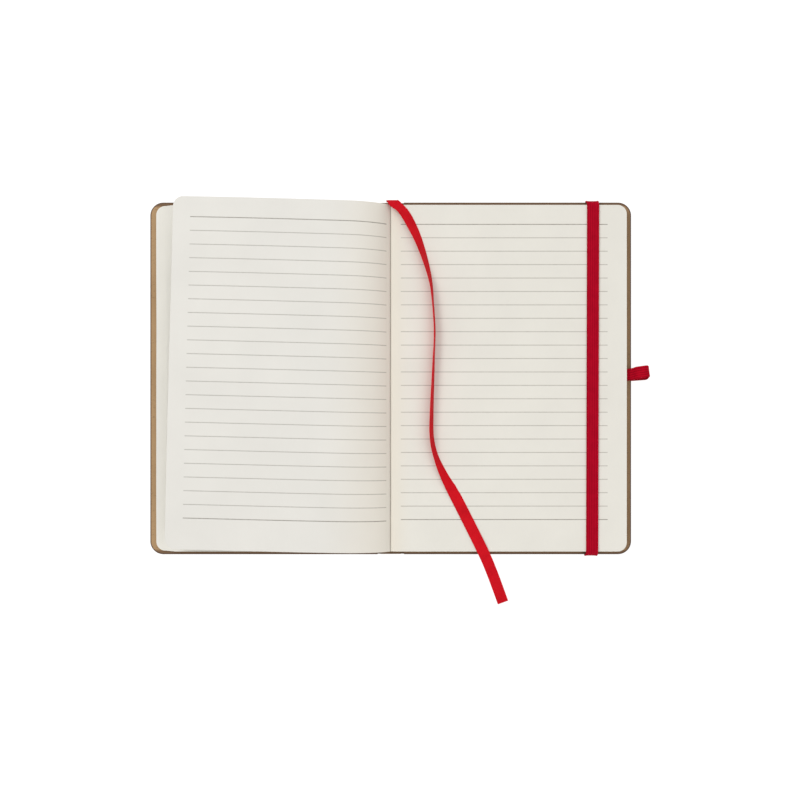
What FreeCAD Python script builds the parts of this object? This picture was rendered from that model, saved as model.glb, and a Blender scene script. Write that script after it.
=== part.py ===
"""Pocket notebook, lying open flat at its middle.

The origin is the centre of the spine's underside. +X runs to the back cover on the right, +Y to the
head of the book, +Z up from the surface that it lies on. Lengths are in millimetres.
"""
import FreeCAD, Part
import math
import os

Vector = FreeCAD.Vector

# Covers
cover_height = 140.0
cover_reach = 95.7  # from the middle of the spine to the fore-edge of either cover
cover_corner = 5.2
kraft = 0.25  # covering paper
board = 1.35  # grey board inside the covering
endpaper = 0.2
turn_in = 8.0  # covering folded over onto the inside of the board

# Spine
spine_card = 0.5
spine_lining = 0.3
hinge_groove = 0.6  # from a fold line to the edge of the cover or the spine
lining_square = 0.4  # spine card beyond the lining, on either side

# Page block
section = 0.8  # one folded section, with the air above the one below
sections = 4  # on each side of the opening
section_air = 0.08
page_corner = 3.6
page_square = 2.6  # cover beyond the page at the fore-edge
page_end_square = 1.6  # and at the head and the tail
left_gutter = 0.4  # from the middle of the opening to the top left page
right_gutter = 2.4  # and to the top right page, which has slid a little further over
back_clearance = 0.2  # between the closed block and the fold line

# Elastic band
band_width = 4.6
band = 0.6
band_inset = 15.9  # from the fore-edge of the cover to the middle of the band
band_clearance = 0.2
band_tuck = 8.0  # from the edge of the cover to the slot in the board
small_air = 0.15  # beside the band, and under and behind the pen loop
closed_air = 1.1  # between the two facing pages when the book is shut on the band

# Pen loop
loop_width = 4.8
loop_web = 0.35
loop_hollow = 4.15
loop_reach = 7.4
loop_corner = 1.3
loop_place = 1.9  # towards the head
loop_tab = 10.0  # glued length inside the cover
loop_lean = 7.0  # degrees

# Loose leaf that stands off the left page
leaf = 0.3
leaf_short = 2.55  # less across than the page below it
leaf_lean = -1.4  # degrees about the middle of the gutter
leaf_rise = 7.9  # above the page that it lifts from
leaf_bend = [(0, 0), (0.25, 0.55), (0.9, 0.86), (2.5, 1)]  # across and up, as shares of the rise
leaf_middle = 0.6  # share of its width at which it is highest
leaf_bulge = 0.3  # rise of its middle over its height near the gutter
leaf_droop = 0.4  # fall at its fore-edge

# Ribbon bookmark
ribbon_width = 4.4
ribbon_route = [
    (0.5, 73.2, 2.4),
    (1.0, 73.3, 7.2),
    (3.4, 70.6, 10.4),
    (6.4, 65.2, 9.4),
    (10.2, 56.5, 7.6),
    (13.6, 45.0, 7.4),
    (16.0, 31.0, 7.45),
    (17.0, 14.0, 7.4),
    (16.5, -4.0, 7.45),
    (15.8, -20.0, 7.4),
    (18.6, -33.0, 7.45),
    (25.5, -47.5, 7.4),
    (32.3, -61.0, 7.7),
    (37.6, -72.0, 8.8),
    (41.3, -80.3, 5.5),
    (44.8, -88.2, 2.5),
]

# Worked out from the sizes above
cover = kraft + board + endpaper
block = section * sections
fold_height = cover / 2
fold = (2 * block + closed_air + 2 * (cover - fold_height)) / 2
page_back = fold + back_clearance
page_fore = cover_reach - page_square
page_width = page_fore - page_back
page_height = cover_height - 2 * page_end_square
leaf_width = page_width - leaf_short
band_place = cover_reach - band_inset
page_top = cover + block
spine = spine_card + spine_lining
band_low = page_top + band_clearance

os.makedirs("parts", exist_ok=True)


def save(name, shape):
    """Writes one piece, which has to be a valid solid."""
    solid = shape.removeSplitter()
    if len(solid.Solids) != 1 or not solid.isValid():
        raise ValueError(f"{name} has {len(solid.Solids)} solids")
    solid.Solids[0].exportStep(f"parts/{name}.step")


def mirrored(shape):
    """The same piece on the other side of the spine."""
    return shape.mirror(Vector(0, 0, 0), Vector(1, 0, 0))


def box(x0, x1, y0, y1, z0, z1):
    return Part.makeBox(x1 - x0, y1 - y0, z1 - z0, Vector(x0, y0, z0))


def plate(x0, x1, height, z0, z1, corner):
    """A flat piece with square corners at the spine and round ones at the fore-edge."""
    slab = box(x0, x1, -height / 2, height / 2, z0, z1)
    fore = [
        e for e in slab.Edges
        if abs(e.CenterOfMass.x - x1) < 1e-6 and abs(e.CenterOfMass.z - (z0 + z1) / 2) < 1e-6
        and abs(e.CenterOfMass.y) > height / 2 - 1e-6
    ]
    return slab.makeFillet(corner, fore)


def cover_pieces():
    """The board, the covering that is folded round it and the endpaper, for the right-hand cover."""
    start = fold + hinge_groove
    core = plate(start, cover_reach - kraft, cover_height - 2 * kraft, kraft, kraft + board,
                 cover_corner - kraft)
    whole = plate(start, cover_reach, cover_height, 0, cover, cover_corner)
    paper = plate(start, cover_reach - turn_in, cover_height - 2 * turn_in, kraft + board, cover,
                  cover_corner)
    return core, whole.cut(core).cut(paper), paper


def rounded_frame(x0, x1, z0, z1, corner, wall, width):
    """A flat strip bent into a closed loop, with its opening along Y."""
    outside = box(x0, x1, -width / 2, width / 2, z0, z1)
    outside = outside.makeFillet(corner, [e for e in outside.Edges if is_along_y(e)])
    inside = box(x0 + wall, x1 - wall, -width, width, z0 + wall, z1 - wall)
    inside = inside.makeFillet(corner - wall, [e for e in inside.Edges if is_along_y(e)])
    return outside.cut(inside)


def is_along_y(edge):
    ends = [v.Point for v in edge.Vertexes]
    return abs(ends[0].x - ends[1].x) < 1e-6 and abs(ends[0].z - ends[1].z) < 1e-6


def pen_loop():
    """The loop with the tab that is glued in under the endpaper."""
    low = small_air
    high = low + loop_hollow + 2 * loop_web
    ring = rounded_frame(cover_reach + small_air, cover_reach + loop_reach, low, high, loop_corner,
                         loop_web, loop_width)
    return ring.fuse(loop_tab_piece())


def loop_tab_piece():
    """The tab, which reaches from inside the cover to the loop."""
    top = kraft + board
    half = loop_width / 2
    return box(cover_reach - loop_tab, cover_reach + small_air + loop_web, -half, half,
               top - loop_web, top)


def lean_loop(shape):
    """Puts a piece of the loop where it lies on the fore-edge."""
    shape.rotate(Vector(cover_reach, 0, 0), Vector(0, 0, 1), loop_lean)
    shape.translate(Vector(0, loop_place, 0))
    return shape


def band_end():
    """An end of the band: along the underside of the cover at the head and up through its slot."""
    left = band_place - band_width / 2
    right = band_place + band_width / 2
    edge = cover_height / 2
    slot = edge - band_tuck
    under = box(left, right, slot, edge + small_air + band, 0, band)
    up = box(left, right, slot, slot + band, 0, kraft + board)
    return under.fuse(up)


def band_leg():
    """The stretch of the band beside the head of the book."""
    near = cover_height / 2 + small_air
    return box(band_place - band_width / 2, band_place + band_width / 2, near, near + band, band,
               band_low + band)


def leaf_profile():
    """The leaf seen from the tail, as the middle of its thickness, from the gutter outwards."""
    base = page_top + leaf
    top = base + leaf_rise
    foot = -left_gutter - leaf
    points = [Vector(foot - x * leaf_rise, 0, base + z * leaf_rise) for x, z in leaf_bend]
    points.append(Vector(-leaf_middle * leaf_width, 0, top + leaf_bulge))
    points.append(Vector(-leaf_width, 0, top - leaf_droop))
    return points


def offset_curve(points, distance):
    """A smooth curve through the points, moved sideways by the distance."""
    moved = []
    for i, p in enumerate(points):
        along = points[min(i + 1, len(points) - 1)] - points[max(i - 1, 0)]
        side = Vector(-along.z, 0, along.x)
        side.normalize()
        moved.append(p + side * distance)
    curve = Part.BSplineCurve()
    curve.interpolate(moved)
    return curve


def loose_leaf():
    """A curved sheet, cut to a page's outline and turned a little about the head of the gutter."""
    points = leaf_profile()
    upper = offset_curve(points, -leaf / 2)
    lower = offset_curve(points, leaf / 2)
    ends = [
        Part.LineSegment(upper.EndPoint, lower.EndPoint),
        Part.LineSegment(lower.StartPoint, upper.StartPoint),
    ]
    wire = Part.Wire(Part.__sortEdges__([c.toShape() for c in [upper, lower, *ends]]))
    sheet = Part.Face(wire).extrude(Vector(0, page_height, 0))
    sheet.translate(Vector(0, -page_height / 2, 0))
    outline = mirrored(plate(0, leaf_width - leaf, page_height, 0, 3 * page_top, page_corner))
    sheet = sheet.common(outline)
    sheet.rotate(Vector(0, 0, 0), Vector(0, 0, 1), leaf_lean)
    return sheet


def cord_path(route):
    """Straight runs joined by tangent arcs, each as large as its two runs allow."""
    points = [Vector(*p) for p in route]
    edges = []
    radii = []
    last = points[0]
    for before, here, after in zip(points, points[1:], points[2:]):
        came = (here - before).normalize()
        goes = (after - here).normalize()
        half_turn = came.getAngle(goes) / 2
        back = 0.45 * min((here - before).Length, (after - here).Length)
        radii.append(back / math.tan(half_turn))
        start = here - came * back
        end = here + goes * back
        inward = (goes - came).normalize()
        middle = here + inward * (radii[-1] / math.cos(half_turn) - radii[-1])
        edges.append(Part.LineSegment(last, start).toShape())
        edges.append(Part.Arc(start, middle, end).toShape())
        last = end
    edges.append(Part.LineSegment(last, points[-1]).toShape())
    return Part.Wire(edges), radii


def ribbon():
    """The space of the ribbon bookmark, as a round cord as thick as the ribbon is wide."""
    path, radii = cord_path(ribbon_route)
    start = Vector(*ribbon_route[0])
    along = Vector(*ribbon_route[1]) - start
    ring = Part.Wire([Part.makeCircle(ribbon_width / 2, start, along)])
    tube = path.makePipeShell([ring], True, False)
    area = math.pi * ribbon_width**2 / 4
    print("ribbon length", round(path.Length, 1), "radii", [round(r, 1) for r in radii])
    print("ribbon volume over section times length", round(tube.Volume / (area * path.Length), 4))
    return tube


def page_section(number, gutter):
    """One section of a right-hand block. The upper ones start nearer the gutter."""
    share = number / (sections - 1)
    start = page_back + (gutter - page_back) * share
    low = cover + section * number
    return plate(start, start + page_width, page_height, low + section_air, low + section, page_corner)


def spine_pieces():
    half = fold - hinge_groove
    card = box(-half, half, -cover_height / 2, cover_height / 2, 0, spine_card)
    inner = half - lining_square
    lining = box(-inner, inner, -page_height / 2, page_height / 2, spine_card, spine)
    strip = box(half, fold + hinge_groove, -cover_height / 2, cover_height / 2, 0, kraft)
    return card, lining, strip


def build():
    core, covering, paper = cover_pieces()
    save("front_board", mirrored(core))
    save("front_kraft_covering", mirrored(covering))
    save("front_endpaper", mirrored(paper))

    tail = Vector(0, 1, 0)
    origin = Vector(0, 0, 0)
    spaces = [lean_loop(pen_loop()), band_end(), band_end().mirror(origin, tail)]
    for name, piece in (("back_board", core), ("back_kraft_covering", covering)):
        for space in spaces:
            piece = piece.cut(space)
        save(name, piece)
    save("back_endpaper", paper)

    save("pen_loop", lean_loop(pen_loop()))
    for name, make in (("band_end", band_end), ("band_leg", band_leg)):
        save(f"{name}_head", make())
        save(f"{name}_tail", make().mirror(origin, tail))
    reach = cover_height / 2 + small_air + band
    save("band_run", box(band_place - band_width / 2, band_place + band_width / 2, -reach + band,
                         reach - band, band_low, band_low + band))

    card, lining, strip = spine_pieces()
    save("spine_card", card)
    save("spine_lining", lining)
    save("back_hinge_strip", strip)
    save("front_hinge_strip", mirrored(strip))

    for number in range(sections):
        save(f"right_section_{number + 1}", page_section(number, right_gutter))
        save(f"left_section_{number + 1}", mirrored(page_section(number, left_gutter)))
    save("loose_leaf", loose_leaf())
    save("ribbon_bookmark", ribbon())


build()
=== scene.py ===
"""The looks of the open pocket notebook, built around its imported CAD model. Lengths are in metres."""
import math

import bmesh
import bpy
import numpy as np
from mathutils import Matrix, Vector


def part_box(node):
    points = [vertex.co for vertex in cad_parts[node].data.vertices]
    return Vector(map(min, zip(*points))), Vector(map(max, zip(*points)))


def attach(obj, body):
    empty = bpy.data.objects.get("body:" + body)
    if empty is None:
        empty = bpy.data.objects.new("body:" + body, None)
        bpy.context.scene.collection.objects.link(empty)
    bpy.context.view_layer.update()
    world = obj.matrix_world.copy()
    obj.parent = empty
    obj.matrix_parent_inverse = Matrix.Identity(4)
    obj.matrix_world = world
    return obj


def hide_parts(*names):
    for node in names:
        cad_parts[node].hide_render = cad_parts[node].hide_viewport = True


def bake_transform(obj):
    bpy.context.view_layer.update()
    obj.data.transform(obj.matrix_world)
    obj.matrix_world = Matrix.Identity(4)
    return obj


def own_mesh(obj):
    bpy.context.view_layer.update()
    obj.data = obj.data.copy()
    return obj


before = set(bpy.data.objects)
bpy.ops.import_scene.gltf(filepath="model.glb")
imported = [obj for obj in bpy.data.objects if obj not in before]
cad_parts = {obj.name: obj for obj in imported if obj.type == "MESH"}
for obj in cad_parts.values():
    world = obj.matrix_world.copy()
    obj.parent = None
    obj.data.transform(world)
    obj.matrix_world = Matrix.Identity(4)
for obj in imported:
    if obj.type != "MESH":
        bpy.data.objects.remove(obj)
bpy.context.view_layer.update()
MM = 0.001
RNG = np.random.default_rng(7)

# Sizes that several pieces share
PAGE_LOW, PAGE_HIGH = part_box("right_section_4")
COVER_LOW, COVER_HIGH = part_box("back_kraft_covering")
PAGE_TOP = PAGE_HIGH.z
HEAD = COVER_HIGH.y
PAGE_HEIGHT = PAGE_HIGH.y - PAGE_LOW.y
PAGE_CORNER = 3.6 * MM
COVER_CORNER = 5.2 * MM
RULE_COUNT = 23
HARD_EDGE = math.radians(50)  # faces that meet at more than this have a sharp edge

# The camera stands straight above the open book
EYE_HEIGHT = 0.42
FRAME_WIDTH = 0.3195  # across the picture, at the table
EYE_X = 0.0037
EYE_Y = -0.0086
SENSOR_WIDTH = 36  # mm

FLOOR_HALF = 3.0
FLOOR_DROP = 0.2 * MM  # how far the floor lies under the covers
FLOOR_GLOW = 0.93
WORLD_LIGHT = 0.57


# ---------------------------------------------------------------- materials
def new_material(name, roughness, specular):
    """A new material with its node tree, its shader, and the place in the object that patterns follow."""
    material = bpy.data.materials.new(name)
    material.use_nodes = True
    tree = material.node_tree
    shader = tree.nodes["Principled BSDF"]
    shader.inputs["Roughness"].default_value = roughness
    shader.inputs["Specular IOR Level"].default_value = specular
    place = tree.nodes.new("ShaderNodeTexCoord").outputs["Object"]
    return material, tree, shader, place


def noise(tree, place, scale, detail=4.0, stretch=(1, 1, 1)):
    mapping = tree.nodes.new("ShaderNodeMapping")
    mapping.inputs["Scale"].default_value = stretch
    tree.links.new(place, mapping.inputs["Vector"])
    texture = tree.nodes.new("ShaderNodeTexNoise")
    texture.inputs["Scale"].default_value = scale
    texture.inputs["Detail"].default_value = detail
    tree.links.new(mapping.outputs["Vector"], texture.inputs["Vector"])
    return texture.outputs["Fac"]


def ramp(tree, factor, stops):
    node = tree.nodes.new("ShaderNodeValToRGB")
    elements = node.color_ramp.elements
    while len(elements) < len(stops):
        elements.new(0.5)
    for element, (at, colour) in zip(elements, stops):
        element.position = at
        element.color = (*colour, 1)
    tree.links.new(factor, node.inputs["Fac"])
    return node.outputs["Color"]


def mix(tree, factor, a, b):
    node = tree.nodes.new("ShaderNodeMix")
    node.data_type = "RGBA"
    for socket, value in ((node.inputs[0], factor), (node.inputs[6], a), (node.inputs[7], b)):
        if isinstance(value, bpy.types.NodeSocket):
            tree.links.new(value, socket)
        elif isinstance(value, tuple):
            socket.default_value = (*value, 1)
        else:
            socket.default_value = value
    return node.outputs[2]


def maths(tree, operation, a, b=0.0, c=0.0):
    node = tree.nodes.new("ShaderNodeMath")
    node.operation = operation
    for socket, value in zip(node.inputs, (a, b, c)):
        if isinstance(value, bpy.types.NodeSocket):
            tree.links.new(value, socket)
        else:
            socket.default_value = value
    return node.outputs[0]


def bump(tree, shader, height, strength, distance):
    node = tree.nodes.new("ShaderNodeBump")
    node.inputs["Strength"].default_value = strength
    node.inputs["Distance"].default_value = distance
    tree.links.new(height, node.inputs["Height"])
    tree.links.new(node.outputs["Normal"], shader.inputs["Normal"])


def axes(tree, vector):
    """The outputs X, Y and Z of a vector."""
    split = tree.nodes.new("ShaderNodeSeparateXYZ")
    tree.links.new(vector, split.inputs[0])
    return split.outputs


def uv_axes(tree, name):
    """X across and Y along a UV map, in millimetres."""
    uv = tree.nodes.new("ShaderNodeUVMap")
    uv.uv_map = name
    return axes(tree, uv.outputs["UV"])


def facing_up(tree):
    """1 where the piece faces up while the book lies open, 0 on its sides, and -1 underneath."""
    return axes(tree, tree.nodes.new("ShaderNodeTexCoord").outputs["Normal"])["Z"]


def stripes(tree, value, pitch):
    """0 to 1 and back, once in each pitch of the value."""
    turn = maths(tree, "MULTIPLY", value, 2 * math.pi / pitch)
    return maths(tree, "MULTIPLY_ADD", maths(tree, "SINE", turn), 0.5, 0.5)


def clamp(tree, value):
    node = tree.nodes.new("ShaderNodeClamp")
    tree.links.new(value, node.inputs["Value"])
    return node.outputs[0]


def band_of(tree, value, middle, half, soft):
    """1 where value is within half of middle, falling to 0 over soft."""
    away = maths(tree, "ABSOLUTE", maths(tree, "SUBTRACT", value, middle))
    beyond = maths(tree, "SUBTRACT", away, half)
    share = maths(tree, "DIVIDE", beyond, soft)
    return clamp(tree, maths(tree, "SUBTRACT", 1.0, share))


PAPER = (0.815, 0.790, 0.720)
# painted shade and painted bounce light: the darker, warmer colour that paper beside the fold is mixed
# towards
FOLD_PAINTED_SHADE = (0.80, 0.72, 0.59)  # paper beside the fold, where it lights itself
FOLD_PAINTED_SHADE_MOST = 0.46  # the most of that tint
RULE_INK = (0.115, 0.088, 0.060)
RULE_HALF = 0.235  # mm, with its soft edge


def paper_colour(tree, place, tint=PAPER):
    cloud = noise(tree, place, 60, 3)
    darker = tuple(0.965 * c for c in tint)
    colour = ramp(tree, cloud, [(0.3, darker), (0.7, tint)])
    fibre = noise(tree, place, 1500, 5, (1.0, 0.35, 1.0))
    return mix(tree, maths(tree, "MULTIPLY", fibre, 0.05), colour,
               (0.55, 0.50, 0.40)), fibre


def paper_material(name, ruled=None, tint=PAPER, painted_shade_end=None):
    """Uncoated cream paper. ruled is (first x, last x, y of the top rule, pitch). The last argument is the x
    where the painted shade beside the fold, darker and warmer, ends."""
    material, tree, shader, place = new_material(name, 0.85, 0.25)
    colour, fibre = paper_colour(tree, place, tint)
    page = uv_axes(tree, "page")
    across, along = page["X"], page["Y"]
    if painted_shade_end:
        # painted shade: from that x to the gutter the paper is mixed towards a darker, warmer colour that
        # stands in for shade and bounce light in the fold
        fade = tree.nodes.new("ShaderNodeMapRange")
        fade.interpolation_type = "SMOOTHSTEP"
        tree.links.new(across, fade.inputs["Value"])
        fade.inputs["From Min"].default_value = painted_shade_end
        fade.inputs["From Max"].default_value = 0.0
        fade.inputs["To Max"].default_value = FOLD_PAINTED_SHADE_MOST
        colour = mix(tree, fade.outputs[0], colour, FOLD_PAINTED_SHADE)
    if ruled:
        x0, x1, top, pitch = ruled
        rules = maths(tree, "DIVIDE", maths(tree, "SUBTRACT", top, along), pitch)
        nearest = maths(tree, "ROUND", rules)
        away = maths(tree, "MULTIPLY",
                     maths(tree, "ABSOLUTE", maths(tree, "SUBTRACT", rules, nearest)),
                     pitch)
        line = clamp(tree, maths(tree, "SUBTRACT", 1.0, maths(tree, "DIVIDE", away, RULE_HALF)))
        inside_x = band_of(tree, across, (x0 + x1) / 2, (x1 - x0) / 2, 0.25)
        last = RULE_COUNT - 1
        inside_y = band_of(tree, rules, last / 2, last / 2 + 0.3, 0.05)
        ends = maths(tree, "ADD", band_of(tree, rules, 0, 0.3, 0.05),
                     band_of(tree, rules, last, 0.3, 0.05))
        # the first and last rules are printed darker, and all of them a little unevenly
        strength = maths(tree, "MULTIPLY_ADD", ends, 0.34, 0.56)
        uneven = maths(tree, "MULTIPLY_ADD", noise(tree, place, 900, 4), 0.6, 0.72)
        strength = maths(tree, "MULTIPLY", strength, uneven)
        drawn = maths(tree, "MULTIPLY", maths(tree, "MULTIPLY", line, inside_x),
                      maths(tree, "MULTIPLY", inside_y, strength))
        colour = mix(tree, drawn, colour, RULE_INK)
    tree.links.new(colour, shader.inputs["Base Color"])
    bump(tree, shader, fibre, 0.12, 0.00005)
    return material


def block_material():
    """The cut edges of a section, where single leaves show as fine lines."""
    material, tree, shader, place = new_material("section_paper", 0.9, 0.2)
    # painted light: the section paper is made lighter than PAPER, the same paper, so the sections look less
    # shaded beside the leaf and the steps
    colour, _ = paper_colour(tree, place, (0.87, 0.85, 0.785))
    waver = maths(tree, "MULTIPLY", noise(tree, place, 40, 2), 0.25 * MM)
    height = maths(tree, "ADD", axes(tree, place)["Z"], waver)
    upright = maths(tree, "SUBTRACT", 1.0, maths(tree, "ABSOLUTE", facing_up(tree)))
    leaves = maths(tree, "MULTIPLY", stripes(tree, height, 0.1 * MM), upright)
    dark = maths(tree, "MULTIPLY", leaves, 0.45)
    tree.links.new(mix(tree, dark, colour, (0.42, 0.38, 0.30)), shader.inputs["Base Color"])
    bump(tree, shader, leaves, 0.5, 0.00008)
    return material


def kraft_material(name, base, light, dark):
    """Brown paper with fibres and flecks, with painted shade on its edges and sides and beside the page
    block.
    """
    material, tree, shader, place = new_material(name, 0.78, 0.3)
    cloud = noise(tree, place, 45, 4)
    colour = ramp(tree, cloud, [(0.3, dark), (0.5, base), (0.75, light)])
    fibre = noise(tree, place, 700, 6, (1.0, 0.25, 1.0))
    flecks = noise(tree, place, 2600, 3, (0.3, 1.0, 1.0))
    colour = mix(tree, ramp(tree, fibre, [(0.45, (0, 0, 0)), (0.75, (0.4, 0.4, 0.4))]),
                 colour, light)
    colour = mix(tree, ramp(tree, flecks, [(0.62, (0, 0, 0)), (0.72, (0.7, 0.7, 0.7))]),
                 colour, tuple(0.45 * c for c in dark))
    facing = facing_up(tree)
    # painted shade: faces that turn away from straight up or down are darkened towards dark brown
    painted_side_shade = ramp(tree, maths(tree, "ABSOLUTE", facing), [(0.88, (0.95, 0.95, 0.95)), (0.995, (0, 0, 0))])
    colour = mix(tree, painted_side_shade, colour, (0.060, 0.026, 0.018))
    # painted shadow of the page block: the inside rims are darkened beside it, at the head, the tail and the
    # back fore-edge
    at = axes(tree, place)
    along = maths(tree, "DIVIDE", maths(tree, "ABSOLUTE", at["Y"]), HEAD)
    ends = ramp(tree, along, [(0.970, (0, 0, 0)), (0.980, (0.75, 0.75, 0.75))])
    across = maths(tree, "DIVIDE", at["X"], COVER_HIGH.x)
    fore = ramp(tree, across, [(0.966, (0, 0, 0)), (0.974, (0.45, 0.45, 0.45))])
    inside = ramp(tree, facing, [(0.4, (0, 0, 0)), (0.6, (1, 1, 1))])
    rim = maths(tree, "MULTIPLY", inside, maths(tree, "MAXIMUM", ends, fore))
    colour = mix(tree, rim, colour, (0.115, 0.062, 0.036))
    tree.links.new(colour, shader.inputs["Base Color"])
    rough = maths(tree, "MULTIPLY_ADD", fibre, 0.2, 0.68)
    tree.links.new(rough, shader.inputs["Roughness"])
    bump(tree, shader, fibre, 0.35, 0.0001)
    return material


def board_material():
    """Grey board with darker and lighter flecks."""
    material, tree, shader, place = new_material("grey_board", 0.9, 0.2)
    flecks = noise(tree, place, 900, 5)
    tree.links.new(ramp(tree, flecks, [(0.35, (0.16, 0.14, 0.12)), (0.7, (0.36, 0.33, 0.29))]),
                   shader.inputs["Base Color"])
    bump(tree, shader, flecks, 0.4, 0.0001)
    return material


def elastic_material(name, rib_pitch, base, bright, dark):
    """Knitted elastic: ribs run along it, and fine rows cross it."""
    material, tree, shader, place = new_material(name, 0.8, 0.05)
    at = uv_axes(tree, "weave")
    rib = stripes(tree, at["X"], rib_pitch)
    row = maths(tree, "MULTIPLY", at["Y"], 2 * math.pi / 0.42)
    row = maths(tree, "ADD", row, maths(tree, "MULTIPLY", rib, 1.6))
    row = maths(tree, "MULTIPLY_ADD", maths(tree, "SINE", row), 0.5, 0.5)
    weave = maths(tree, "MULTIPLY_ADD", row, 0.35, maths(tree, "MULTIPLY", rib, 0.65))
    cloud = noise(tree, place, 350, 3)
    mixed = maths(tree, "MULTIPLY_ADD", cloud, 0.5, maths(tree, "MULTIPLY", weave, 0.55))
    colour = ramp(tree, mixed, [(0.2, dark), (0.5, base), (0.85, bright)])
    tree.links.new(colour, shader.inputs["Base Color"])
    bump(tree, shader, weave, 0.6, 0.00012)
    return material


def satin_material():
    """Woven ribbon, with fine threads along and across it."""
    material, tree, shader, place = new_material("ribbon_satin", 0.6, 0.08)
    at = uv_axes(tree, "weave")
    across, along = stripes(tree, at["X"], 0.22), stripes(tree, at["Y"], 0.30)
    weave = maths(tree, "MULTIPLY_ADD", along, 0.6, maths(tree, "MULTIPLY", across, 0.4))
    cloud = noise(tree, place, 220, 3)
    mixed = maths(tree, "MULTIPLY_ADD", cloud, 0.55, maths(tree, "MULTIPLY", weave, 0.4))
    colour = ramp(tree, mixed, [(0.2, (0.47, 0.002, 0.009)), (0.5, (0.64, 0.004, 0.012)),
                                (0.85, (0.76, 0.008, 0.017))])
    tree.links.new(colour, shader.inputs["Base Color"])
    bump(tree, shader, weave, 0.5, 0.00008)
    return material


def gauze_material():
    """Open cloth, with threads 0.9 mm apart both ways."""
    material, tree, shader, place = new_material("lining_gauze", 0.9, 0.2)
    at = axes(tree, place)
    weave = maths(tree, "MAXIMUM", *[stripes(tree, at[axis], 0.9 * MM) for axis in ("X", "Y")])
    tree.links.new(ramp(tree, weave, [(0.3, (0.40, 0.37, 0.30)), (0.8, (0.74, 0.71, 0.62))]),
                   shader.inputs["Base Color"])
    bump(tree, shader, weave, 0.6, 0.0001)
    return material


# ---------------------------------------------------------------- mesh helpers
def new_object(name, mesh, material):
    mesh.name = name
    piece = bpy.data.objects.new(name, mesh)
    bpy.context.scene.collection.objects.link(piece)
    mesh.materials.append(material)
    return piece


def smooth(mesh):
    """Turns the faces outwards and shades them smooth, with hard edges left sharp."""
    work = bmesh.new()
    work.from_mesh(mesh)
    bmesh.ops.recalc_face_normals(work, faces=work.faces)
    for edge in work.edges:
        edge.smooth = edge.calc_face_angle(0) < HARD_EDGE
    work.to_mesh(mesh)
    work.free()
    for face in mesh.polygons:
        face.use_smooth = True


def solid_sheet(name, grid, thick, material, uv_name, uvs):
    """A closed thin sheet. grid is rows of points, thick is how far its underside lies below them along
    their normals, and uvs has the same shape as grid, with two numbers a point."""
    grid = np.array(grid, float)
    rows, columns = grid.shape[:2]
    along = np.gradient(grid, axis=0)
    across = np.gradient(grid, axis=1)
    normal = np.cross(across, along)
    normal /= np.maximum(np.linalg.norm(normal, axis=2, keepdims=True), 1e-12)
    under = grid - normal * thick
    points = np.concatenate([grid.reshape(-1, 3), under.reshape(-1, 3)])
    flat_uv = np.concatenate([np.array(uvs, float).reshape(-1, 2)] * 2)
    size = rows * columns
    faces = []
    for i in range(rows - 1):
        for j in range(columns - 1):
            a, b = i * columns + j, (i + 1) * columns + j
            faces.append((a, a + 1, b + 1, b))
            faces.append((size + a, size + b, size + b + 1, size + a + 1))
    rim = ([(0, j) for j in range(columns)] + [(i, columns - 1) for i in range(1, rows)]
           + [(rows - 1, j) for j in range(columns - 2, -1, -1)] + [(i, 0) for i in range(rows - 2, 0, -1)])
    rim = [i * columns + j for i, j in rim]
    for a, b in zip(rim, rim[1:] + rim[:1]):
        faces.append((b, a, size + a, size + b))
    mesh = bpy.data.meshes.new(name)
    mesh.from_pydata(points.tolist(), [], faces)
    layer = mesh.uv_layers.new(name=uv_name)
    for loop in mesh.loops:
        layer.data[loop.index].uv = flat_uv[loop.vertex_index]
    smooth(mesh)
    return new_object(name, mesh, material)


def page_outline(u, v, width, height, corner):
    """Where a point of the unit square lies on a page with two round fore-edge corners: u from the
    gutter to the fore-edge, v from tail to head."""
    y = (v - 0.5) * height
    inset = max(0.0, abs(y) - (height / 2 - corner))
    reach = width - (corner - math.sqrt(max(0.0, corner**2 - inset**2)))
    return u * reach, y


def page_rows(count, height, corner):
    """Shares of the page's height, close together at the round corners."""
    step = corner / height
    arc = [step * (1 - math.cos(a)) for a in np.linspace(0, math.pi / 2, 10)]
    middle = list(np.linspace(step, 1 - step, count))[1:-1]
    return arc + middle + [1 - a for a in reversed(arc)]


def smooth_line(points, steps=24):
    """Points along a centripetal curve through the given ones, which doesn't swing out at a long run."""
    points = [np.array(p, float) for p in points]
    ends = [2 * points[0] - points[1], *points, 2 * points[-1] - points[-2]]
    line = []
    for p0, p1, p2, p3 in zip(ends, ends[1:], ends[2:], ends[3:]):
        t1 = np.linalg.norm(p1 - p0)**0.5
        t2 = t1 + np.linalg.norm(p2 - p1)**0.5
        t3 = t2 + np.linalg.norm(p3 - p2)**0.5
        for t in np.linspace(t1, t2, steps, endpoint=False):
            a1 = (t1 - t) / t1 * p0 + t / t1 * p1
            a2 = (t2 - t) / (t2 - t1) * p1 + (t - t1) / (t2 - t1) * p2
            a3 = (t3 - t) / (t3 - t2) * p2 + (t - t2) / (t3 - t2) * p3
            b1 = (t2 - t) / t2 * a1 + t / t2 * a2
            b2 = (t3 - t) / (t3 - t1) * a2 + (t - t1) / (t3 - t1) * a3
            line.append((t2 - t) / (t2 - t1) * b1 + (t - t1) / (t2 - t1) * b2)
    line.append(points[-1])
    return np.array(line)


def even(line, count):
    """The line again, with that many evenly spaced points, and how far along each one is."""
    steps = np.linalg.norm(np.diff(line, axis=0), axis=1)
    along = np.concatenate([[0], np.cumsum(steps)])
    at = np.linspace(0, along[-1], count)
    return np.stack([np.interp(at, along, line[:, k]) for k in range(line.shape[1])], axis=1), at


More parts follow.
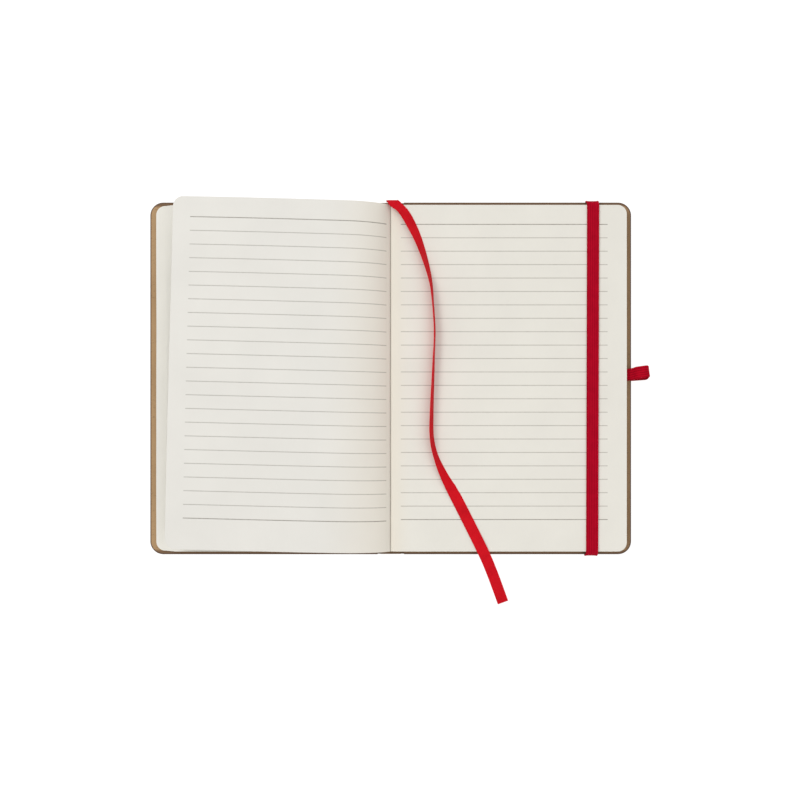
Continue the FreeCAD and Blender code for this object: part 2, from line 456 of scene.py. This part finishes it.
# ---------------------------------------------------------------- camera, light, floor
def make_camera():
    """It looks straight down, and its picture is FRAME_WIDTH across at the table."""
    data = bpy.data.cameras.new("camera")
    data.sensor_width = SENSOR_WIDTH
    data.lens = SENSOR_WIDTH * EYE_HEIGHT / FRAME_WIDTH
    camera = bpy.data.objects.new("camera", data)
    camera.location = (EYE_X, EYE_Y, EYE_HEIGHT)
    bpy.context.scene.collection.objects.link(camera)
    bpy.context.scene.camera = camera


def make_light(name, place, size, power):
    """A square light that faces the middle of the book."""
    data = bpy.data.lights.new(name, "AREA")
    data.size = size
    data.energy = power
    light = bpy.data.objects.new(name, data)
    light.location = place
    light.rotation_euler = (-Vector(place)).to_track_quat("-Z", "Y").to_euler()
    bpy.context.scene.collection.objects.link(light)


def make_floor():
    """White ground that shines a little by itself, just under the covers."""
    mesh = bpy.data.meshes.new("floor")
    half = FLOOR_HALF
    mesh.from_pydata([(-half, -half, 0), (half, -half, 0), (half, half, 0), (-half, half, 0)], [],
                     [(0, 1, 2, 3)])
    material = bpy.data.materials.new("floor")
    material.use_nodes = True
    shader = material.node_tree.nodes["Principled BSDF"]
    shader.inputs["Base Color"].default_value = (0.20, 0.20, 0.20, 1)
    shader.inputs["Roughness"].default_value = 0.9
    shader.inputs["Specular IOR Level"].default_value = 0.0
    shader.inputs["Emission Color"].default_value = (1, 1, 1, 1)
    shader.inputs["Emission Strength"].default_value = FLOOR_GLOW
    mesh.materials.append(material)
    floor = bpy.data.objects.new("floor", mesh)
    floor.location.z = -FLOOR_DROP
    bpy.context.scene.collection.objects.link(floor)


def make_world():
    """Even white light all round."""
    world = bpy.data.worlds.new("studio")
    world.use_nodes = True
    world.node_tree.nodes["Background"].inputs["Color"].default_value = (1, 1, 1, 1)
    world.node_tree.nodes["Background"].inputs["Strength"].default_value = WORLD_LIGHT
    bpy.context.scene.world = world
    bpy.context.scene.view_settings.view_transform = "Standard"


# ---------------------------------------------------------------- ribbon bookmark
RIBBON_WIDTH = 4.4 * MM
RIBBON_THICK = 0.22 * MM
RIBBON_UPRIGHT = 4.9 * MM  # the length along which its width lies along X
RIBBON_TWIST = 3.2 * MM  # the length over which it then turns with its course
RIBBON_ROUTE = [
    (0.5, 70.2, 1.8),
    (0.5, 70.25, 4.4),
    (0.5, 70.05, 6.2),
    (1.2, 68.9, 7.0),
    (3.6, 67.3, 6.9),
    (6.4, 64.0, 6.5),
    (11.9, 52.7, 6.9),
    (15.9, 39.3, 7.2),
    (16.9, 28.7, 7.35),
    (17.5, 17.5, 7.35),
    (16.9, 3.5, 7.3),
    (16.3, -12.4, 7.3),
    (15.9, -23.4, 7.1),
    (18.4, -32.5, 6.3),
    (24.5, -44.4, 5.35),
    (31.2, -57.7, 5.28),
    (37.3, -70.0, 5.6),
    (40.4, -77.6, 3.9),
    (42.9, -84.2, 1.6),
    (44.8, -89.4, 0.45),
]
# How far the ribbon's width is turned up from flat, in degrees, at places along Y in millimetres
RIBBON_TURN = [(70.0, 0), (68.5, 26), (67.0, 36), (64.0, 30), (60.0, 34), (56.0, 42), (52.0, 50),
               (46.0, 60), (41.0, 68), (36.0, 76), (30.0, 81), (12.0, 82), (-4.0, 75), (-17.0, 70),
               (-24.0, 68), (-31.0, 60), (-37.0, 38), (-43.0, 14), (-50.0, 2), (-70.0, 0)]


def spline_line(name, route):
    """The smooth line of a NURBS spline with the route's points as its control points."""
    curve = bpy.data.curves.new(name, "CURVE")
    curve.dimensions = "3D"
    spline = curve.splines.new("NURBS")
    spline.points.add(len(route) - 1)
    for point, place in zip(spline.points, route):
        point.co = (*[x * MM for x in place], 1)
    spline.order_u = 3
    spline.use_endpoint_u = True
    spline.resolution_u = 12
    holder = bpy.data.objects.new(name, curve)
    mesh = bpy.data.meshes.new_from_object(holder)
    line = np.array([v.co for v in mesh.vertices])
    bpy.data.meshes.remove(mesh)
    bpy.data.objects.remove(holder)
    bpy.data.curves.remove(curve)
    return line


def make_ribbon():
    """A flat strip along the route. Its width lies along X where it leaves the spine, then turns with it."""
    line, at = even(spline_line("ribbon_line", RIBBON_ROUTE), 340)
    ahead = np.gradient(line, axis=0)
    ahead /= np.linalg.norm(ahead, axis=1, keepdims=True)
    turn_y, turn = zip(*sorted(RIBBON_TURN))
    columns = np.linspace(-1, 1, 9)
    rows, uvs = [], []
    for p, t, s in zip(line, ahead, at):
        level = np.cross(t, (0, 0, 1))
        share = min(1.0, max(0.0, (s - RIBBON_UPRIGHT) / RIBBON_TWIST))
        flat = (1 - share) * np.array([-1.0, 0, 0]) + share * level / max(np.linalg.norm(level), 1e-6)
        flat -= t * np.dot(flat, t)
        flat /= np.linalg.norm(flat)
        angle = math.radians(np.interp(p[1] / MM, turn_y, turn))
        side = math.cos(angle) * flat + math.sin(angle) * np.cross(flat, t)
        lift = np.cross(side, t)
        wave = 0.05 * MM * math.sin(s / 0.0075) + 0.03 * MM * math.sin(s / 0.0031 + 1)
        rows.append([p + side * c * RIBBON_WIDTH / 2 + lift * (0.05 * MM * (1 - c * c) + wave)
                     for c in columns])
        uvs.append([(c * RIBBON_WIDTH / 2 / MM, s / MM) for c in columns])
    piece = solid_sheet("ribbon_bookmark_woven", rows, RIBBON_THICK, satin_material(),
                        "weave", uvs)
    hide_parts("ribbon_bookmark")
    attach(piece, "right_leaves_4")
    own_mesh(piece)


# ---------------------------------------------------------------- pages
RIGHT_FORE = PAGE_LOW.x + 0.0908  # where the right-hand pages lie flush while the book is open
LEAVES = 5  # sheets that stand for a section's many
TOP_THICK = 0.12 * MM
SHEET_THICK = 0.11 * MM
SHEET_AIR = 0.02 * MM  # above and below each sheet of a section
RIGHT_RULES = (4.15, 85.5, 60.7, 5.294)  # mm: first x, last x, y of the top rule, pitch
# mm across the page, where the painted shade beside the fold ends
RIGHT_PAINTED_SHADE_END = 9.0


def page_sheet(low_x, fore_x, low_z, thick, columns, lift=None, fray=0.0):
    """One sheet's rows and uvs, from low_x at the gutter to fore_x. fray makes its fore-edge uneven."""
    width = fore_x - low_x
    across = np.concatenate([np.linspace(0, 6 * MM, 14)[:-1], np.linspace(6 * MM, width, columns)])
    rows, uvs = [], []
    for v in page_rows(46, PAGE_HEIGHT, PAGE_CORNER):
        row, uv = [], []
        frayed = width + fray * math.sin(v * 9 + low_z / MM * 5)
        for x in across:
            px, y = page_outline(x / width, v, frayed, PAGE_HEIGHT, PAGE_CORNER)
            row.append((low_x + px, y, low_z + thick + (lift(px, y) if lift else 0)))
            uv.append(((low_x + px) / MM, y / MM))
        rows.append(row)
        uvs.append(uv)
    return rows, uvs


def top_page_lift(px, y):
    """A slight crown beside the gutter, and ripples."""
    crown = 0.15 * MM * math.exp(-((px - 9 * MM) / (12 * MM)) ** 2)
    return crown + 0.03 * MM * math.sin(px / 0.013 + y / 0.017)


def make_right_page():
    """The ruled page on top of the right-hand block."""
    rows, uvs = page_sheet(PAGE_LOW.x, RIGHT_FORE, PAGE_TOP - TOP_THICK, TOP_THICK, 60, top_page_lift)
    page = paper_material("ruled_right_page", RIGHT_RULES, PAPER, RIGHT_PAINTED_SHADE_END)
    piece = solid_sheet("right_page", rows, TOP_THICK, page, "page", uvs)
    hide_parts("right_section_4")
    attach(piece, "right_leaves_4")
    square_up(piece, PAGE_LOW.x, RIGHT_FORE)


def square_up(piece, low_x, fore_x):
    """Gives the piece its own mesh when it is wider than the CAD page."""
    keep = (PAGE_HIGH.x - PAGE_LOW.x) / (fore_x - low_x)
    if keep < 0.999:
        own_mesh(piece)


def make_section(side, number, body, leaves):
    """A folded section: a few sheets with slightly uneven edges, one above another."""
    low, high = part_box(f"{side}_section_{number}")
    near, fore = (low.x, RIGHT_FORE) if side == "right" else (-high.x, -low.x)
    pitch = (high.z - low.z) / LEAVES
    thick = pitch - 2 * SHEET_AIR
    sheets = []
    for k in range(leaves):
        back = RNG.uniform(0, 0.18) * MM
        rows, uvs = page_sheet(near, fore - back, low.z + k * pitch + SHEET_AIR, thick, 8, fray=0.06 * MM)
        rows = np.array(rows)
        if side == "left":
            rows[..., 0] *= -1
            rows, uvs = rows[:, ::-1], np.array(uvs)[:, ::-1]
        sheets.append(solid_sheet(f"{side}_sheet_{number}_{k}", rows, thick, BLOCK,
                                  "page", uvs))
    with bpy.context.temp_override(active_object=sheets[0], selected_editable_objects=sheets):
        bpy.ops.object.join()
    piece = sheets[0]
    piece.name = f"{side}_section_{number}_leaves"
    if leaves == LEAVES:
        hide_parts(f"{side}_section_{number}")
    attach(piece, body)
    if side == "right":
        square_up(piece, near, RIGHT_FORE)


def make_gutter_fold():
    """The right-hand page's last 2 mm, which turn down into the opening and shut up with the book."""
    fold = [(2.55, 5.06), (1.8, 5.02), (1.0, 4.92), (0.4, 4.76), (0.0, 4.58), (-0.2, 4.4)]
    line, _ = even(smooth_line(fold), 26)
    last = len(line) - 1
    rows, uvs = [], []
    for y in np.linspace(PAGE_LOW.y + 0.02 * MM, PAGE_HIGH.y - 0.02 * MM, 90):
        ripple = 0.03 * math.sin(y / 0.013)
        rows.append([(x * MM, y, (z + ripple * (1 - k / last)) * MM)
                     for k, (x, z) in enumerate(line)][::-1])
        uvs.append([(x, y / MM) for x, z in line][::-1])
    page = paper_material("gutter_page", None, PAPER, RIGHT_PAINTED_SHADE_END)
    piece = solid_sheet("right_page_gutter", rows, SHEET_THICK, page, "page", uvs)
    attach(piece, "right_leaves_4")
    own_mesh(piece)


LEAF_LEAN = math.radians(-1.4)
LEAF_CORNER = 3.9 * MM
LEAF_WIDTH = 85.8  # mm, as it lies, from the gutter
LEAF_FREE = 18  # mm from the gutter, where it leans in full
LEAF_RULES = (2.1, 6.9, 60.5, 5.305)  # mm: first x, margin at the fore-edge, y of the top rule, pitch
LEAF_PAPER = (0.815, 0.796, 0.745)
# mm from the gutter, where the painted shade beside the fold ends
LEAF_PAINTED_SHADE_END = 30.0


def make_leaf():
    """The loose ruled leaf, which stands up steeply at the gutter and stays off the page below."""
    page, top = PAGE_TOP / MM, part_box("loose_leaf")[1].z / MM
    points = [(-0.25, page + 0.12), (-1.8, page + 1.6), (-5.6, page + 4.1), (-13.5, top - 1.9),
              (-30.0, top - 0.8), (-55.0, top - 0.4), (-LEAF_WIDTH, top - 0.75)]
    line, at = even(smooth_line(points), 110)
    reach = at[-1]
    rows, uvs = [], []
    for v in page_rows(70, PAGE_HEIGHT, LEAF_CORNER):
        row, uv = [], []
        for i in range(len(line)):
            length, y = page_outline(i / (len(line) - 1), v, reach * MM, PAGE_HEIGHT, LEAF_CORNER)
            x, z = (np.interp(length / MM, at, line[:, k]) for k in (0, 1))
            share = length / (reach * MM)
            wave = 0.22 * math.sin(y / 0.021 + 2.2 * share) * share
            wave += 0.12 * math.sin(length / 0.010 + y / 0.035) * share
            # it leans with its fore-edge, and its gutter edge stays on the fold
            free = min(1.0, max(0.0, -x / LEAF_FREE))
            free = free * free * (3 - 2 * free)
            row.append((x * MM - y * math.sin(LEAF_LEAN) * free, y + x * MM * math.sin(LEAF_LEAN),
                        (z + wave) * MM))
            uv.append((length / MM, y / MM))
        rows.append(row)
        uvs.append(uv)
    first, margin, top_rule, pitch = LEAF_RULES
    rules = (first, reach - margin, top_rule, pitch)
    paper = paper_material("ruled_left_page", rules, LEAF_PAPER, LEAF_PAINTED_SHADE_END)
    piece = solid_sheet("loose_ruled_leaf", np.array(rows)[:, ::-1], SHEET_THICK, paper,
                        "page", np.array(uvs)[:, ::-1])
    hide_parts("loose_leaf")
    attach(piece, "left_leaves_4")
    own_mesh(piece)


# ---------------------------------------------------------------- elastic band and pen loop
BAND_THICK = 0.5 * MM
LOOP_REACH = 6.6 * MM
LOOP_HALF = 2.35 * MM
LOOP_THICK = 0.3 * MM


def strip_rows(path, half_width, crown, edge_soft):
    """Rows of points across a strip that follows path. half_width runs from its middle to its edge."""
    ahead = np.gradient(path, axis=0)
    ahead /= np.linalg.norm(ahead, axis=1, keepdims=True)
    columns = np.linspace(-1, 1, 11)
    rows = []
    for p, t in zip(path, ahead):
        side = np.array(half_width, float)
        out = np.cross(side, t)
        out /= max(np.linalg.norm(out), 1e-12)
        rows.append([p + side * c + out * (crown * (1 - c * c) - edge_soft * c**8) for c in columns])
    return np.array(rows), columns


def make_band():
    """The closure band, whole: out of its slots, round the head and the tail and across the page."""
    run_low, run_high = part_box("band_run")
    x = (run_low.x + run_high.x) / 2 - 0.1 * MM
    half = (run_high.x - run_low.x) / 2
    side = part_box("band_leg_head")[1].y - 0.25 * MM
    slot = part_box("band_end_head")[0].y + 0.3 * MM
    top = run_high.z - 0.05 * MM
    low = 0.08 * MM
    corner = 0.7 * MM
    outline = [(slot, 1.5 * MM), (slot, 0.6 * MM), (slot + corner, low), (slot + 2 * corner, low),
               (side - 2 * corner, low), (side - corner, low),
               (side, low + corner), (side, 1.9 * MM), (side - 0.45 * MM, 3.7 * MM),
               (side - 1.0 * MM, 4.8 * MM), (side - 2.3 * MM, top - 0.32 * MM),
               (side - 7 * MM, top - 0.25 * MM)]
    points = outline + [(-y, z) for y, z in reversed(outline)]
    line, at = even(smooth_line(points, 16), 620)
    path = np.stack([x + line[:, 0] / HEAD * 0.2 * MM, line[:, 0], line[:, 1]], axis=1)
    rows, columns = strip_rows(path, (half, 0, 0), 0.06 * MM, 0.10 * MM)
    uvs = [[(c * half / MM, s / MM) for c in columns] for s in at]
    material = elastic_material("band_elastic", 0.9, (0.40, 0.001, 0.015), (0.48, 0.003, 0.020),
                                (0.28, 0.001, 0.011))
    piece = solid_sheet("elastic_band_woven", rows[::-1], BAND_THICK, material, "weave",
                        uvs[::-1])
    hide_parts("band_run", "band_leg_head", "band_leg_tail", "band_end_head", "band_end_tail")
    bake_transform(piece)


def make_pen_loop():
    """The loop of webbing on the fore-edge. Its upper layer leans more than the lower one."""
    edge = COVER_HIGH.x
    far = edge + LOOP_REACH
    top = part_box("pen_loop")[1].z - 0.2 * MM
    points = [(edge - 7 * MM, 1.52 * MM), (edge - 2.6 * MM, 1.55 * MM), (edge - 1.2 * MM, 2.15 * MM),
              (edge + 0.6 * MM, 2.75 * MM), (edge + 2.2 * MM, top - 0.55 * MM), (edge + 4.4 * MM, top),
              (far - 1.0 * MM, top - 0.3 * MM), (far - 0.15 * MM, top - 1.2 * MM), (far, 2.6 * MM),
              (far - 0.5 * MM, 1.1 * MM), (far - 1.7 * MM, 0.45 * MM), (edge + 3.6 * MM, 0.40 * MM),
              (edge + 1.9 * MM, 0.5 * MM), (edge + 0.9 * MM, 0.85 * MM), (edge - 0.3 * MM, 1.15 * MM),
              (edge - 7 * MM, 1.12 * MM)]
    line, at = even(smooth_line(points, 14), 190)
    path = np.stack([line[:, 0], np.zeros(len(line)), line[:, 1]], axis=1)
    rows, columns = strip_rows(path, (0, LOOP_HALF, 0), 0.0, 0.05 * MM)
    for row in rows:
        for point in row:
            up = min(1.0, max(0.0, (point[2] - 1.0 * MM) / (3 * MM)))
            lean = math.radians(4 + 4 * up)
            far_end = min(1.0, max(0.0, (point[0] - far + 1.3 * MM) / (1.3 * MM)))
            out, along = point[0] - edge, point[1] * (1 - 0.2 * far_end**3)
            point[0] = edge + out * math.cos(lean) - along * math.sin(lean)
            point[1] = (1.3 + 0.7 * up) * MM + out * math.sin(lean) + along * math.cos(lean)
    uvs = [[(c * LOOP_HALF / MM, s / MM) for c in columns] for s in at]
    material = elastic_material("loop_elastic", 0.9, (0.43, 0.001, 0.013), (0.52, 0.003, 0.018),
                                (0.20, 0.001, 0.008))
    piece = solid_sheet("pen_loop_webbing", rows, LOOP_THICK, material, "weave", uvs)
    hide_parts("pen_loop")
    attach(piece, "back_cover")


# ---------------------------------------------------------------- covers
def cover_outline(inset):
    """The outline of the right-hand cover, counter-clockwise, pulled in by inset on every side."""
    x0, x1 = COVER_LOW.x, COVER_HIGH.x - inset
    half = HEAD - inset
    radius = max(0.4 * MM, COVER_CORNER - inset)
    points = [(x0, -half)]
    for centre, first in ((-half + radius, -90), (half - radius, 0)):
        for a in np.radians(np.linspace(first, first + 90, 15)):
            points.append((x1 - radius + radius * math.cos(a), centre + radius * math.sin(a)))
    points.append((x0, half))
    return points


def make_cover(name, nodes, body, mirror):
    """The covering with softly rounded edges, and its turn-in round the endpaper."""
    top = COVER_HIGH.z / MM
    # heights and insets in mm, from the underside round the edge to where the turn-in ends inside
    levels = [(0.0, 0.55), (0.04, 0.28), (0.16, 0.1), (0.4, 0.0), (top - 0.55, 0.0), (top - 0.3, 0.10),
              (top - 0.11, 0.32), (top - 0.01, 0.66), (top, 0.9), (top, 1.4), (top, 7.85),
              (top - 0.19, 7.95)]
    points, faces = [], []
    for z, inset in levels:
        points += [(x, y, z * MM) for x, y in cover_outline(inset * MM)]
    ring = len(points) // len(levels)
    for k in range(len(levels) - 1):
        for i in range(ring):
            j = (i + 1) % ring
            faces.append((k * ring + i, k * ring + j, (k + 1) * ring + j, (k + 1) * ring + i))
    faces.append(tuple(range(ring - 1, -1, -1)))
    faces.append(tuple((len(levels) - 1) * ring + i for i in range(ring)))
    if mirror:
        points = [(-x, y, z) for x, y, z in points]
    mesh = bpy.data.meshes.new(name)
    mesh.from_pydata(points, [], faces)
    smooth(mesh)
    piece = new_object(name, mesh, KRAFT)
    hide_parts(*nodes)
    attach(piece, body)


def make_hinge(name, node, mirror):
    """Covering paper between the spine and a cover, as a flat sheet."""
    low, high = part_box(node)
    sign = -1 if mirror else 1
    x0, x1 = (abs(high.x), abs(low.x)) if mirror else (low.x, high.x)
    xs = np.linspace(x0 - 0.05 * MM, x1 + 0.05 * MM, 9)
    ys = np.linspace(low.y + 0.05 * MM, high.y - 0.05 * MM, 40)
    rows = [[(sign * x, y, 0.25 * MM) for x in (xs[::-1] if mirror else xs)] for y in ys]
    uvs = [[(x, y) for x in xs] for y in ys]
    piece = solid_sheet(name, rows, 0.2 * MM, KRAFT, "flat", uvs)
    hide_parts(node)
    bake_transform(piece)


def dress(node, material):
    """Gives a CAD piece that stays its material."""
    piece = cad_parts[node]
    for slot in piece.material_slots:
        slot.material = material
    if not piece.material_slots:
        piece.data.materials.append(material)


make_camera()
make_ribbon()
make_world()
make_light("key", (-1.1, 0.8, 1.45), 0.7, 14.8)
make_light("fill", (0.55, -0.3, 1.0), 1.2, 3.75)
make_floor()

KRAFT = kraft_material("kraft_paper", (0.440, 0.278, 0.142), (0.480, 0.312, 0.164), (0.395, 0.245, 0.122))
BLOCK = block_material()
make_right_page()
make_gutter_fold()
make_leaf()
make_band()
make_pen_loop()
make_cover("back_cover_kraft", ("back_kraft_covering",), "back_cover", False)
make_cover("front_cover_kraft", ("front_kraft_covering",), "front_cover", True)
make_hinge("back_hinge_fold", "back_hinge_strip", False)
make_hinge("front_hinge_fold", "front_hinge_strip", True)
for number in (1, 2, 3, 4):
    for side, cover in (("right", "back_cover"), ("left", "front_cover")):
        under_right_page = side == "right" and number == 4
        make_section(side, number, cover if number == 1 else f"{side}_leaves_{number}",
                     LEAVES - 1 if under_right_page else LEAVES)
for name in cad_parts:
    if "endpaper" in name:
        dress(name, BLOCK)
    elif "board" in name:
        dress(name, board_material())
dress("spine_card", KRAFT)
dress("spine_lining", gauze_material())
